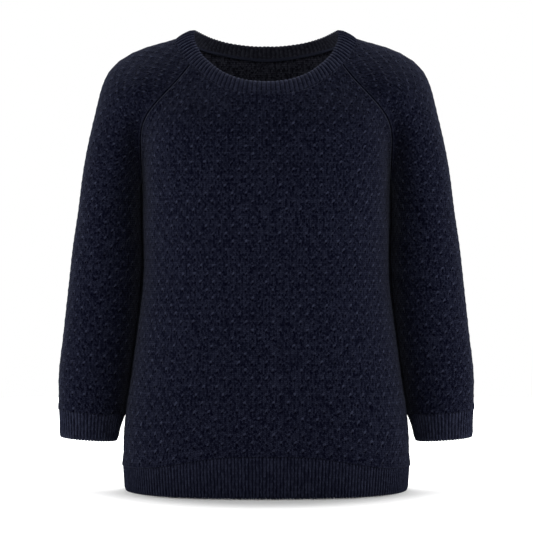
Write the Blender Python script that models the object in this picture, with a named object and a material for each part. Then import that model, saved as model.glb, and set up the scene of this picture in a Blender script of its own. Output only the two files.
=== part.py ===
"""A crewneck sweater with raglan three-quarter sleeves, filled out as it is worn.

One smooth skin is worked out for the whole garment from short tables of guide lines and
sections, and cut along its seams into the panels that a knitter links: front, back and
two sleeves. The neckband, the hem ribs and the cuffs are walls of their own, with 1x1
ribs raised on the outside over a plain inside.
Metres. +Z is up, the front faces -Y, and the wearer's right is -X. The origin is the
middle of the neck opening at shoulder height, where the wearer holds the sweater up.
"""

import math

import bpy
import bmesh
import numpy as np

# Cloth
PANEL_WALL = 0.003
RIB_WALL = 0.0022
RIB_RAISE = 0.0011
SEAM_GAP = 0.0003

# Number of 1x1 ribs
NECK_RIBS = 112
HEM_RIBS = 120
CUFF_RIBS = 62

# Cells of the skin: across each panel of the yoke, and down the yoke, torso and sleeve
FRONT_CELLS = 4
SLEEVE_CELLS = 3
BACK_CELLS = 4
YOKE_RINGS = 5
TORSO_RINGS = 8
SLEEVE_RINGS = 7
SURFACE_LEVELS = 1
FITTING_ROUNDS = 4

# Fine points of a curve: a guide line or section, and each row of the neck's table
CURVE_SAMPLES = 200
NECK_SAMPLES = 40

# Edges bent more than this are drawn sharp
SHARP_DEGREES = 50

# The neck seam from centre front to centre back, and the neckband's free edge above it.
# Columns: x, y, z, how far the edge lies inwards of the seam, how far above it.
# Rows 0, 2, 3, 4 and 6 are the tops of the guide lines below.
NECK = [
    (0.0000, -0.090, -0.0780, 0.0150, 0.0175),
    (0.0520, -0.080, -0.0705, 0.0155, 0.0185),
    (0.0975, -0.047, -0.0370, 0.0200, 0.0145),
    (0.1180, 0.000, 0.0000, 0.0235, 0.0115),
    (0.0880, 0.054, -0.0060, 0.0170, 0.0145),
    (0.0500, 0.075, -0.0135, 0.0140, 0.0155),
    (0.0000, 0.084, -0.0190, 0.0120, 0.0183),
]
NECK_CORNERS = (0, 2, 3, 4, 6)
NECKBAND_CROWN = 0.0016
CUFF_WAIST = 0.0006

# Guide lines of the yoke, from below the neck seam to the underarm
# Columns: x, y, z
CENTRE_FRONT = [(0.0, -0.109, -0.130), (0.0, -0.123, -0.190)]
FRONT_RAGLAN = [
    (0.1047, -0.054, -0.0490),
    (0.1336, -0.068, -0.0785),
    (0.1467, -0.062, -0.0960),
    (0.1564, -0.050, -0.1115),
    (0.1613, -0.038, -0.1260),
    (0.1610, -0.008, -0.1780),
]
OVERARM = [
    (0.1432, 0.002, -0.0060),
    (0.1752, 0.004, -0.0168),
    (0.2018, 0.006, -0.0360),
    (0.2120, 0.008, -0.0620),
    (0.2210, 0.009, -0.0880),
    (0.2320, 0.010, -0.1350),
    (0.2400, 0.012, -0.1800),
]
BACK_RAGLAN = [
    (0.126, 0.070, -0.040),
    (0.149, 0.072, -0.083),
    (0.160, 0.060, -0.125),
    (0.161, 0.044, -0.178),
]
CENTRE_BACK = [(0.0, 0.097, -0.080), (0.0, 0.104, -0.190)]
UNDERARM = (0.163, 0.018, -0.187)

# At underarm height the front, the sleeve and the back leave the raglan lines at these angles
FRONT_ENDS_AT = 80
BACK_STARTS_AT = 110
SLEEVE_FRONT = (-40, 80)
SLEEVE_BACK = (100, 220)

# Torso sections from the underarm to the hem rib, and the foot of the rib
# Columns: z, half width, y of the front, y of the back
TORSO = [
    (-0.190, 0.1630, -0.1230, 0.104),
    (-0.235, 0.1600, -0.1225, 0.101),
    (-0.282, 0.1590, -0.1200, 0.098),
    (-0.328, 0.1610, -0.1190, 0.100),
    (-0.374, 0.1670, -0.1190, 0.104),
    (-0.440, 0.1760, -0.1200, 0.110),
    (-0.505, 0.1870, -0.1225, 0.115),
    (-0.531, 0.1855, -0.1185, 0.112),
]
HEM_FOOT = (-0.583, 0.1835, -0.1135, 0.108)
TORSO_POWER = 2.45
SIDE_SEAM_Y = 0.015

# The panels blouse over the hem rib: towards the sides their lower part hangs this much lower
SIDE_DROP = 0.0205
DROP_STARTS_AT = -0.430
DROP_SPREAD = (0.1, 0.95)

# Sleeve sections from the underarm to the cuff, and the foot of the cuff
# Columns: z, x and y of the middle, half width, half depth, slope up towards the outer side
SLEEVE = [
    (-0.180, 0.2010, 0.018, 0.0390, 0.066, 0.000),
    (-0.210, 0.2055, 0.017, 0.0375, 0.064, 0.010),
    (-0.260, 0.2085, 0.016, 0.0425, 0.061, 0.025),
    (-0.322, 0.2135, 0.016, 0.0445, 0.058, 0.040),
    (-0.385, 0.2200, 0.016, 0.0450, 0.055, 0.055),
    (-0.450, 0.2275, 0.016, 0.0442, 0.051, 0.070),
    (-0.483, 0.2292, 0.016, 0.0407, 0.046, 0.075),
]
CUFF_FOOT = (-0.518, 0.2320, 0.016, 0.0373, 0.0435, 0.075)
SLEEVE_POWER = 2.15

# Base colours, linear
PANEL_NAVY = (0.0105, 0.0120, 0.0260)
RIB_NAVY = (0.0125, 0.0140, 0.0290)
KNIT_ROUGHNESS = 0.92


def clear_scene():
    for thing in list(bpy.data.objects):
        bpy.data.objects.remove(thing)


def knit_material(name, colour):
    material = bpy.data.materials.new(name)
    material.use_nodes = True
    shader = material.node_tree.nodes["Principled BSDF"]
    shader.inputs["Base Color"].default_value = (*colour, 1.0)
    shader.inputs["Roughness"].default_value = KNIT_ROUGHNESS
    shader.inputs["Metallic"].default_value = 0.0
    return material


# Lines and sections


def smooth_rows(rows, places):
    """The rows of a table on a smooth curve, at places from 0, the first row, to 1, the last."""
    rows = np.array(rows, float)
    last = len(rows) - 1
    padded = np.vstack([2 * rows[0] - rows[1], rows, 2 * rows[-1] - rows[-2]])
    at = np.clip(np.asarray(places, float), 0, 1) * last
    first = np.minimum(at.astype(int), last - 1)
    t = (at - first)[:, None]
    a, b, c, d = (padded[first + k] for k in range(4))
    slope = c - a
    bend = 2 * a - 5 * b + 4 * c - d
    twist = 3 * b - a - 3 * c + d
    return b + 0.5 * (slope * t + bend * t**2 + twist * t**3)


def rows_at_even_heights(rows, count):
    """Rows of a table of sections, at count + 1 even steps of its first column, the height."""
    dense = smooth_rows(rows, np.linspace(0, 1, 2 * CURVE_SAMPLES))
    heights = np.linspace(dense[0, 0], dense[-1, 0], count + 1)
    below = -dense[:, 0]
    return np.column_stack([np.interp(-heights, below, column) for column in dense.T])


def distances(line):
    steps = np.linalg.norm(np.diff(line, axis=0), axis=1)
    return np.concatenate([[0], np.cumsum(steps)])


def points_along(line, places, measure=None):
    """The points of a line at these distances, measured along it or along another line."""
    along = distances(line if measure is None else measure)
    return np.column_stack([np.interp(places, along, column) for column in np.asarray(line).T])


def even_points(line, cells):
    return points_along(line, np.linspace(0, distances(line)[-1], cells + 1))


def guide_points(rows, cells):
    return even_points(smooth_rows(rows, np.linspace(0, 1, CURVE_SAMPLES)), cells)


def oval(middle, half_width, front_depth, back_depth, power, degrees):
    """Points of a rounded oval at angles from its front middle (-Y) round by +X."""
    angle = np.radians(degrees)
    side, ahead = np.sin(angle), np.cos(angle)
    depth = np.where(ahead > 0, front_depth, back_depth)
    x = middle[0] + half_width * np.sign(side) * np.abs(side) ** (2 / power)
    y = middle[1] - depth * np.sign(ahead) * np.abs(ahead) ** (2 / power)
    return np.column_stack([x, y, np.zeros_like(x)])


def smooth_step(value, start, end):
    t = np.clip((value - start) / (end - start), 0, 1)
    return t * t * (3 - 2 * t)


def torso_section(row, from_degrees, to_degrees, blousing=True):
    z, half_width, front, back = row
    angles = np.linspace(from_degrees, to_degrees, CURVE_SAMPLES)
    depths = (SIDE_SEAM_Y - front, back - SIDE_SEAM_Y)
    points = oval((0.0, SIDE_SEAM_Y), half_width, *depths, TORSO_POWER, angles)
    points[:, 2] = z
    if blousing:
        low = smooth_step(z, DROP_STARTS_AT, TORSO[-1][0])
        sideways = np.abs(np.sin(np.radians(angles)))
        points[:, 2] -= SIDE_DROP * low * smooth_step(sideways, *DROP_SPREAD)
    return points


def sleeve_section(row, from_degrees=-90, to_degrees=270):
    z, x, y, half_width, half_depth, rise = row
    angles = np.linspace(from_degrees, to_degrees, 2 * CURVE_SAMPLES)
    points = oval((x, y), half_width, half_depth, half_depth, SLEEVE_POWER, angles)
    points[:, 2] = z + rise * (points[:, 0] - x)
    return points


# Cells of the skin


def neck_curve():
    """The neck seam's half as a fine line of points, NECK_SAMPLES to each row of its table."""
    rows = np.array(NECK)
    mirrored = np.array([-1, 1, 1, 1, 1])
    around = np.vstack([rows[1] * mirrored, rows, rows[-2] * mirrored])
    last = len(around) - 1
    places = np.linspace(1, last - 1, NECK_SAMPLES * (len(rows) - 1) + 1) / last
    return smooth_rows(around, places)[:, :3]


def neck_runs(cells):
    """The neck seam from centre front to centre back, a run of points between two guide lines."""
    curve = neck_curve()
    ends = [NECK_SAMPLES * corner for corner in NECK_CORNERS]
    return [even_points(curve[a : b + 1], count) for a, b, count in zip(ends, ends[1:], cells)]


def underarm_runs(corners, cells):
    """The ring at underarm height: half the front, the sleeve's front and back, half the back."""
    front = torso_section(TORSO[0], 0, FRONT_ENDS_AT)
    back = torso_section(TORSO[0], BACK_STARTS_AT, 180)
    sleeve_front = sleeve_section(SLEEVE[0], *SLEEVE_FRONT)
    sleeve_back = sleeve_section(SLEEVE[0], *SLEEVE_BACK)
    lines = [
        [*front, corners[1]],
        [corners[1], *sleeve_front, corners[2]],
        [corners[2], *sleeve_back, corners[3]],
        [corners[3], *back],
    ]
    return [even_points(np.array(line), count) for line, count in zip(lines, cells)]


def bulge(run):
    """How far each point of a run lies from the straight line between its ends."""
    straight = np.linspace(0, 1, len(run))[:, None]
    return run - (run[0] + (run[-1] - run[0]) * straight)


def yoke_rings():
    """Rings from neck seam to underarm, each from centre front over the sleeve to centre back.

    A ring takes its corners from the guide lines. Between them it bulges as the neck seam
    and the underarm ring do, more like the nearer of the two.
    """
    tables = (CENTRE_FRONT, FRONT_RAGLAN, OVERARM, BACK_RAGLAN, CENTRE_BACK)
    tops = [NECK[corner][:3] for corner in NECK_CORNERS]
    guides = [guide_points([top, *table], YOKE_RINGS) for top, table in zip(tops, tables)]
    cells = (FRONT_CELLS, SLEEVE_CELLS, SLEEVE_CELLS, BACK_CELLS)
    upper = neck_runs(cells)
    lower = underarm_runs([line[-1] for line in guides], cells)
    rings = []
    for k in range(YOKE_RINGS + 1):
        down = k / YOKE_RINGS
        ring = []
        for part, count in enumerate(cells):
            start, end = guides[part][k], guides[part + 1][k]
            straight = start + (end - start) * np.linspace(0, 1, count + 1)[:, None]
            bent = straight + bulge(upper[part]) * (1 - down) + bulge(lower[part]) * down
            ring.extend(bent[:-1])
        ring.append(guides[4][k])
        rings.append(ring)
    return rings


class Skin:
    """The points and four-sided cells of the garment's outer side, each cell with its panel."""

    def __init__(self):
        self.points = []
        self.cells = []
        self.panels = []

    def row(self, points):
        first = len(self.points)
        self.points.extend(np.asarray(point, float) for point in points)
        return list(range(first, len(self.points)))

    def strip(self, panel, upper, lower):
        for k in range(len(upper) - 1):
            self.cells.append((upper[k], lower[k], lower[k + 1], upper[k + 1]))
            self.panels.append(panel)


PANELS = ("front", "back", "sleeve_left", "sleeve_right")


def left_half():
    """The skin of the half with +X, and the numbers of the points where its borders start."""
    skin = Skin()
    rings = [skin.row(ring) for ring in yoke_rings()]
    raglan_front = FRONT_CELLS
    raglan_back = FRONT_CELLS + 2 * SLEEVE_CELLS
    across_front = slice(0, raglan_front + 1)
    across_sleeve = slice(raglan_front, raglan_back + 1)
    across_back = slice(raglan_back, None)
    for upper, lower in zip(rings, rings[1:]):
        skin.strip("front", upper[across_front], lower[across_front])
        skin.strip("sleeve_left", upper[across_sleeve], lower[across_sleeve])
        skin.strip("back", upper[across_back], lower[across_back])

    underarm = skin.row([UNDERARM])
    front_row = rings[-1][across_front] + underarm
    back_row = underarm + rings[-1][across_back]
    for row in rows_at_even_heights(TORSO, TORSO_RINGS)[1:]:
        front = skin.row(even_points(torso_section(row, 0, 90), FRONT_CELLS + 1))
        back = front[-1:] + skin.row(even_points(torso_section(row, 90, 180), BACK_CELLS + 1)[1:])
        skin.strip("front", front_row, front)
        skin.strip("back", back_row, back)
        front_row, back_row = front, back

    sleeve_row = underarm + rings[-1][across_sleeve] + underarm
    for row in rows_at_even_heights(SLEEVE, SLEEVE_RINGS)[1:]:
        loop = skin.row(even_points(sleeve_section(row), 2 * SLEEVE_CELLS + 2)[:-1])
        loop.append(loop[0])
        skin.strip("sleeve_left", sleeve_row, loop)
        sleeve_row = loop
    starts = {"neck": rings[0][0], "hem": front_row[-1], "cuff": sleeve_row[0]}
    return skin, starts


def whole_skin():
    """The skin of both halves. Its points on the centre lines are shared, the others are twins."""
    skin, starts = left_half()
    twin = {}
    for number in range(len(skin.points)):
        point = skin.points[number]
        on_centre = abs(point[0]) < 1e-9
        twin[number] = number if on_centre else skin.row([point * (-1, 1, 1)])[0]
    for cell, panel in list(zip(skin.cells, skin.panels)):
        skin.cells.append(tuple(twin[number] for number in reversed(cell)))
        skin.panels.append("sleeve_right" if panel == "sleeve_left" else panel)
    return skin, starts, twin


def subdivided(points, skin):
    """Points, faces, panel numbers and normals of the smooth surface, the skin's own points first."""
    mesh = bpy.data.meshes.new("skin")
    mesh.from_pydata([tuple(point) for point in points], [], skin.cells)
    mesh.polygons.foreach_set("material_index", [PANELS.index(name) for name in skin.panels])
    thing = bpy.data.objects.new("skin", mesh)
    bpy.context.scene.collection.objects.link(thing)
    smoother = thing.modifiers.new("smooth surface", "SUBSURF")
    smoother.levels = SURFACE_LEVELS
    smoother.render_levels = SURFACE_LEVELS
    smooth = thing.evaluated_get(bpy.context.evaluated_depsgraph_get()).to_mesh()
    places = np.array([vertex.co for vertex in smooth.vertices])
    normals = np.array([vertex.normal for vertex in smooth.vertices])
    faces = [tuple(face.vertices) for face in smooth.polygons]
    panels = [face.material_index for face in smooth.polygons]
    bpy.data.objects.remove(thing)
    bpy.data.meshes.remove(mesh)
    return places, faces, panels, normals


def fitted_surface(skin):
    """The smooth surface that passes through the skin's own points."""
    targets = np.array(skin.points)
    points = targets.copy()
    for _ in range(FITTING_ROUNDS):
        points = points + targets - subdivided(points, skin)[0][: len(targets)]
    return subdivided(points, skin)


# Solids


def add_solid(name, points, faces, material):
    mesh = bpy.data.meshes.new(name)
    mesh.from_pydata([tuple(point) for point in points], [], faces)
    shape = bmesh.new()
    shape.from_mesh(mesh)
    bmesh.ops.recalc_face_normals(shape, faces=shape.faces)
    shape.to_mesh(mesh)
    shape.free()
    mesh.materials.append(material)
    mesh.shade_smooth()
    mesh.set_sharp_from_angle(angle=math.radians(SHARP_DEGREES))
    solid = bpy.data.objects.new(name, mesh)
    bpy.context.scene.collection.objects.link(solid)
    return solid


def unit(vectors):
    return vectors / np.linalg.norm(vectors, axis=-1, keepdims=True)


def border_edges(faces):
    """Directed edges that only one face has."""
    directed = {(a, b) for face in faces for a, b in zip(face, face[1:] + face[:1])}
    return [(a, b) for a, b in directed if (b, a) not in directed]


def pulled_back(points, normals, edges):
    """The shift of each border point into its panel, half a seam gap from every border edge it is on."""
    inwards = {}
    for a, b in edges:
        along = points[b] - points[a]
        for end in (a, b):
            direction = np.cross(normals[end], along)
            inwards.setdefault(end, []).append(direction / np.linalg.norm(direction))
    shifts = {}
    for number, (first, second) in inwards.items():
        shifts[number] = (first + second) / (1 + first @ second) * SEAM_GAP / 2
    return shifts


def add_panel(name, surface, material):
    """One knitted panel: its faces of the skin, the same a wall's thickness inside, and its borders."""
    points, all_faces, panels, normals = surface
    faces = [face for face, panel in zip(all_faces, panels) if PANELS[panel] == name]
    edges = border_edges(faces)
    outer = points.copy()
    inner = points - normals * PANEL_WALL
    for number, shift in pulled_back(points, normals, edges).items():
        outer[number] += shift
        inner[number] += shift
    used = sorted({number for face in faces for number in face})
    place = {number: k for k, number in enumerate(used)}
    below = len(used)
    solid_faces = [tuple(place[n] for n in face) for face in faces]
    solid_faces += [tuple(place[n] + below for n in reversed(face)) for face in faces]
    for a, b in edges:
        low, high = place[min(a, b)], place[max(a, b)]
        solid_faces += [(low, high, low + below), (high, high + below, low + below)]
    add_solid(name, [*outer[used], *inner[used]], solid_faces, material)


def add_ribbed_wall(name, outer, inner, closed, material):
    """A wall between rows of outer points and rows of inner points, half as many to a row."""
    rows, columns = len(outer), len(outer[0])
    inner_columns = len(inner[0])
    points = [point for row in outer for point in row] + [point for row in inner for point in row]
    inside = rows * columns
    faces = []
    for r in range(rows - 1):
        for c in range(columns if closed else columns - 1):
            d = (c + 1) % columns
            top, foot = r * columns, (r + 1) * columns
            faces.append((top + c, foot + c, foot + d, top + d))
        for c in range(inner_columns if closed else inner_columns - 1):
            d = (c + 1) % inner_columns
            top, foot = inside + r * inner_columns, inside + (r + 1) * inner_columns
            faces.append((top + d, foot + d, foot + c, top + c))
    for r in (0, rows - 1):
        for c in range(inner_columns if closed else inner_columns - 1):
            here = inside + r * inner_columns + c
            there = inside + r * inner_columns + (c + 1) % inner_columns
            first, middle, last = (r * columns + (2 * c + k) % columns for k in range(3))
            faces += [(here, first, middle), (here, middle, there), (there, middle, last)]
    if not closed:
        for r in range(rows - 1):
            for end, inner_end in ((0, 0), (columns - 1, inner_columns - 1)):
                outer_top = r * columns + end
                inner_top = inside + r * inner_columns + inner_end
                faces.append((outer_top, outer_top + columns, inner_top + inner_columns, inner_top))
    add_solid(name, points, faces, material)


def border_path(edges, points, start, towards):
    """The border's points in order from start, the first step in the direction of towards."""
    neighbours = {}
    for a, b in edges:
        neighbours.setdefault(a, []).append(b)
        neighbours.setdefault(b, []).append(a)
    first = max(neighbours[start], key=lambda n: (points[n] - points[start]) @ np.array(towards))
    path = [start, first]
    while path[-1] != start:
        ahead = [n for n in neighbours[path[-1]] if n != path[-2]]
        path.append(ahead[0])
    return path


def rib_heights(columns):
    """The raise of the outer columns: a rib at every second one, and the groove between them."""
    return np.where(np.arange(columns) % 2 == 1, RIB_RAISE, 0.0)[:, None]


def seam_row(path, surface, columns, closed):
    """Even places along a seam: their points, and the skin's outward directions there."""
    points, normals = surface[0][path], surface[3][path]
    length = distances(points)[-1]
    if closed:
        places = np.linspace(0, length, columns + 1)[:-1]
    else:
        places = np.linspace(SEAM_GAP / 2, length - SEAM_GAP / 2, columns)
    return points_along(points, places), unit(points_along(normals, places, points)), places


def add_band(name, seam, outward, rows, closed, material):
    """A rib band: rows of points from the seam to its free edge, each with its outward directions."""
    away = unit(rows[0][0] - seam)
    rows = [(seam + away * SEAM_GAP / 2, outward), *rows]
    raised = rib_heights(len(seam))
    outer = [points + direction * raised for points, direction in rows]
    inner = [(points - direction * RIB_WALL)[::2] for points, direction in rows]
    add_ribbed_wall(name, outer, inner, closed, material)


def outward_of(points, centre):
    """Level directions from a middle line through each point of a ring, square to the ring."""
    along = np.roll(points, -1, axis=0) - np.roll(points, 1, axis=0)
    direction = np.cross(along, (0, 0, 1))
    sign = np.sign(np.sum(direction * (points - centre), axis=1))
    return unit(direction * sign[:, None])


def add_hem_ribs(surface, edges, starts, twin, material):
    """Two ribs from the panels' foot to the hem, meeting at the side seams."""
    points = surface[0]
    path = border_path(edges, points, twin[starts["hem"]], (0, -1, 0))
    split = path.index(starts["hem"])
    halves = {
        "hem_rib_front": (path[: split + 1], (-90, 90)),
        "hem_rib_back": (path[split:], (90, 270)),
    }
    for name, (half, angles) in halves.items():
        seam, outward, _ = seam_row(half, surface, 2 * HEM_RIBS + 1, closed=False)
        foot_line = torso_section(HEM_FOOT, *angles, blousing=False)
        ends = (SEAM_GAP / 2, distances(foot_line)[-1] - SEAM_GAP / 2)
        foot = points_along(foot_line, np.linspace(*ends, 2 * HEM_RIBS + 1))
        level = unit(outward * (1, 1, 0))
        add_band(name, seam, outward, [(foot, level)], False, material)


def add_cuff(name, surface, edges, start, side, material):
    """A rib tube from the sleeve's foot."""
    path = border_path(edges, surface[0], start, (0, -1, 0))
    seam, outward, _ = seam_row(path, surface, 2 * CUFF_RIBS, closed=True)
    foot_line = sleeve_section(CUFF_FOOT) * (side, 1, 1)
    foot = even_points(foot_line, 2 * CUFF_RIBS)[:-1]
    centre = foot.mean(axis=0)
    level = outward_of(foot, centre)
    middle = (seam + foot) / 2 - level * CUFF_WAIST
    add_band(name, seam, outward, [(middle, level), (foot, level)], True, material)


def add_neckband(surface, edges, starts, material):
    """A rib band that stands on the neck seam and leans inwards."""
    path = border_path(edges, surface[0], starts["neck"], (1, 0, 0))
    seam, outward, places = seam_row(path, surface, 2 * NECK_RIBS, closed=True)
    corners = np.cumsum([0, FRONT_CELLS, SLEEVE_CELLS, SLEEVE_CELLS, BACK_CELLS]) * 2**SURFACE_LEVELS
    along = distances(surface[0][path])
    half = along[-1] / 2
    from_front = half - np.abs(places - half)
    row = np.interp(from_front, along[corners], NECK_CORNERS)
    inwards, upwards = smooth_rows(NECK, row / NECK_CORNERS[-1]).T[3:, :, None]
    level = outward_of(seam, seam.mean(axis=0))
    rise = upwards * np.array([0, 0, 1]) - inwards * level
    across = unit(np.cross(np.roll(seam, -1, axis=0) - np.roll(seam, 1, axis=0), rise))
    across = across * np.sign(np.sum(across * level, axis=1))[:, None]
    middle = seam + rise / 2 + across * NECKBAND_CROWN
    edge = seam + rise
    add_band("neckband", seam, outward, [(middle, across), (edge, across)], True, material)


clear_scene()
panel_knit = knit_material("navy tuck-stitch knit", PANEL_NAVY)
rib_knit = knit_material("navy rib knit", RIB_NAVY)
garment, border_starts, mirror_twin = whole_skin()
smooth_skin = fitted_surface(garment)
open_edges = border_edges(smooth_skin[1])
for panel_name in PANELS:
    add_panel(panel_name, smooth_skin, panel_knit)
add_hem_ribs(smooth_skin, open_edges, border_starts, mirror_twin, rib_knit)
add_cuff("cuff_left", smooth_skin, open_edges, border_starts["cuff"], 1, rib_knit)
add_cuff("cuff_right", smooth_skin, open_edges, mirror_twin[border_starts["cuff"]], -1, rib_knit)
add_neckband(smooth_skin, open_edges, border_starts, rib_knit)
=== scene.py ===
"""The looks of a navy crewneck sweater with raglan three-quarter sleeves, filled out as it is worn.

The sections follow the garment as it is put together: the form that it takes, the tuck-stitch
cloth, the four panels, the rib bands, the linking inside the neck, and the studio around it.
Metres. +Z is up, the front faces -Y and the wearer's right is -X.
"""

import bpy
import numpy as np
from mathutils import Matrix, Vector
from mathutils.kdtree import KDTree


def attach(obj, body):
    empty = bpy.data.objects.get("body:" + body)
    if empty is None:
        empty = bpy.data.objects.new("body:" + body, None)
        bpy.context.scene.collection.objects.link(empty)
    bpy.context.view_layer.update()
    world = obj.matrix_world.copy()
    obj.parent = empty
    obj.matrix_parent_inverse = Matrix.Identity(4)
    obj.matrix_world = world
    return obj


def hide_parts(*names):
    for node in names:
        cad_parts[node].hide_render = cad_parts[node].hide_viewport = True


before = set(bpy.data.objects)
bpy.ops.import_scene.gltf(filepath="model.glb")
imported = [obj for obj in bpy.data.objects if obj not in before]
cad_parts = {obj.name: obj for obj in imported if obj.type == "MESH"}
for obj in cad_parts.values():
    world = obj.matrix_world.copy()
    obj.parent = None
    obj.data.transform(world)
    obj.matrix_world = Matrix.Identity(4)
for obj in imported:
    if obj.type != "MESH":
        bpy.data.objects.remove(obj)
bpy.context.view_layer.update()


# The form
# Worn, the four panels make one smooth skin over the shoulders, chest and arms. Guide lines
# run down the yoke along the raglan seams, and ovals cross the torso and the sleeves.

# Cells of the skin: across each panel of the yoke, and down the yoke, torso and sleeve
FRONT_CELLS = 4
SLEEVE_CELLS = 3
BACK_CELLS = 4
YOKE_RINGS = 5
TORSO_RINGS = 8
SLEEVE_RINGS = 7
FITTING_ROUNDS = 4
FITTING_LEVELS = 1
SKIN_LEVELS = 3
SKIN_STEPS = 2**SKIN_LEVELS

# Fine points of a curve: a guide line or section, and each row of the neck's table
CURVE_SAMPLES = 200
NECK_SAMPLES = 40

# The neck seam from centre front to centre back, and the neckband's free edge above it.
# Columns: x, y, z, how far the edge lies inwards of the seam, how far above it.
# Rows 0, 2, 3, 4 and 6 are the tops of the guide lines below.
NECK = [
    (0.0000, -0.090, -0.0780, 0.0150, 0.0175),
    (0.0520, -0.080, -0.0705, 0.0155, 0.0185),
    (0.0975, -0.047, -0.0370, 0.0200, 0.0145),
    (0.1180, 0.000, 0.0000, 0.0235, 0.0115),
    (0.0880, 0.054, -0.0060, 0.0170, 0.0145),
    (0.0500, 0.075, -0.0135, 0.0140, 0.0155),
    (0.0000, 0.084, -0.0190, 0.0120, 0.0183),
]
NECK_CORNERS = (0, 2, 3, 4, 6)

# Guide lines of the yoke, from below the neck seam to the underarm
# Columns: x, y, z
CENTRE_FRONT = [(0.0, -0.109, -0.130), (0.0, -0.123, -0.190)]
FRONT_RAGLAN = [
    (0.1047, -0.054, -0.0490),
    (0.1336, -0.068, -0.0785),
    (0.1467, -0.062, -0.0960),
    (0.1564, -0.050, -0.1115),
    (0.1613, -0.038, -0.1260),
    (0.1610, -0.008, -0.1780),
]
OVERARM = [
    (0.1432, 0.002, -0.0060),
    (0.1752, 0.004, -0.0168),
    (0.2018, 0.006, -0.0360),
    (0.2120, 0.008, -0.0620),
    (0.2210, 0.009, -0.0880),
    (0.2320, 0.010, -0.1350),
    (0.2400, 0.012, -0.1800),
]
BACK_RAGLAN = [
    (0.126, 0.070, -0.040),
    (0.149, 0.072, -0.083),
    (0.160, 0.060, -0.125),
    (0.161, 0.044, -0.178),
]
CENTRE_BACK = [(0.0, 0.097, -0.080), (0.0, 0.104, -0.190)]
UNDERARM = (0.163, 0.018, -0.187)

# At underarm height the front, the sleeve and the back leave the raglan lines at these angles
FRONT_ENDS_AT = 80
BACK_STARTS_AT = 110
SLEEVE_FRONT = (-40, 80)
SLEEVE_BACK = (100, 220)

# Torso sections from the underarm to the hem rib, and the foot of the rib
# Columns: z, half width, y of the front, y of the back
TORSO = [
    (-0.190, 0.1630, -0.1230, 0.104),
    (-0.235, 0.1600, -0.1225, 0.101),
    (-0.282, 0.1590, -0.1200, 0.098),
    (-0.328, 0.1610, -0.1190, 0.100),
    (-0.374, 0.1670, -0.1190, 0.104),
    (-0.440, 0.1760, -0.1200, 0.110),
    (-0.505, 0.1870, -0.1225, 0.115),
    (-0.531, 0.1855, -0.1185, 0.112),
]
HEM_FOOT = (-0.583, 0.1835, -0.1135, 0.108)
TORSO_POWER = 2.45
SIDE_SEAM_Y = 0.015

# The panels blouse over the hem rib: towards the sides their lower part hangs this much lower
SIDE_DROP = 0.0205
DROP_STARTS_AT = -0.430
DROP_SPREAD = (0.1, 0.95)

# Sleeve sections from the underarm to the cuff, and the foot of the cuff
# Columns: z, x and y of the middle, half width, half depth, slope up towards the outer side
SLEEVE = [
    (-0.180, 0.2010, 0.018, 0.0390, 0.066, 0.000),
    (-0.210, 0.2055, 0.017, 0.0375, 0.064, 0.010),
    (-0.260, 0.2085, 0.016, 0.0425, 0.061, 0.025),
    (-0.322, 0.2135, 0.016, 0.0445, 0.058, 0.040),
    (-0.385, 0.2200, 0.016, 0.0450, 0.055, 0.055),
    (-0.450, 0.2275, 0.016, 0.0442, 0.051, 0.070),
    (-0.483, 0.2292, 0.016, 0.0407, 0.046, 0.075),
]
CUFF_FOOT = (-0.518, 0.2320, 0.016, 0.0373, 0.0435, 0.075)
SLEEVE_POWER = 2.15


def smooth_rows(rows, places):
    """The rows of a table on a smooth curve, at places from 0, the first row, to 1, the last."""
    rows = np.array(rows, float)
    last = len(rows) - 1
    padded = np.vstack([2 * rows[0] - rows[1], rows, 2 * rows[-1] - rows[-2]])
    at = np.clip(np.asarray(places, float), 0, 1) * last
    first = np.minimum(at.astype(int), last - 1)
    t = (at - first)[:, None]
    a, b, c, d = (padded[first + k] for k in range(4))
    slope = c - a
    bend = 2 * a - 5 * b + 4 * c - d
    twist = 3 * b - a - 3 * c + d
    return b + 0.5 * (slope * t + bend * t**2 + twist * t**3)


def rows_at_even_heights(rows, count):
    """Rows of a table of sections, at count + 1 even steps of its first column, the height."""
    dense = smooth_rows(rows, np.linspace(0, 1, 2 * CURVE_SAMPLES))
    heights = np.linspace(dense[0, 0], dense[-1, 0], count + 1)
    below = -dense[:, 0]
    return np.column_stack([np.interp(-heights, below, column) for column in dense.T])


def distances(line):
    steps = np.linalg.norm(np.diff(line, axis=0), axis=1)
    return np.concatenate([[0], np.cumsum(steps)])


def points_along(line, places, measure=None):
    """The points of a line at these distances, measured along it or along another line."""
    along = distances(line if measure is None else measure)
    return np.column_stack([np.interp(places, along, column) for column in np.asarray(line).T])


def even_points(line, cells):
    return points_along(line, np.linspace(0, distances(line)[-1], cells + 1))


def guide_points(rows, cells):
    return even_points(smooth_rows(rows, np.linspace(0, 1, CURVE_SAMPLES)), cells)


def oval(middle, half_width, front_depth, back_depth, power, degrees):
    """Points of a rounded oval at angles from its front middle (-Y) round by +X."""
    angle = np.radians(degrees)
    side, ahead = np.sin(angle), np.cos(angle)
    depth = np.where(ahead > 0, front_depth, back_depth)
    x = middle[0] + half_width * np.sign(side) * np.abs(side) ** (2 / power)
    y = middle[1] - depth * np.sign(ahead) * np.abs(ahead) ** (2 / power)
    return np.column_stack([x, y, np.zeros_like(x)])


def smooth_step(value, start, end):
    t = np.clip((value - start) / (end - start), 0, 1)
    return t * t * (3 - 2 * t)


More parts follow.
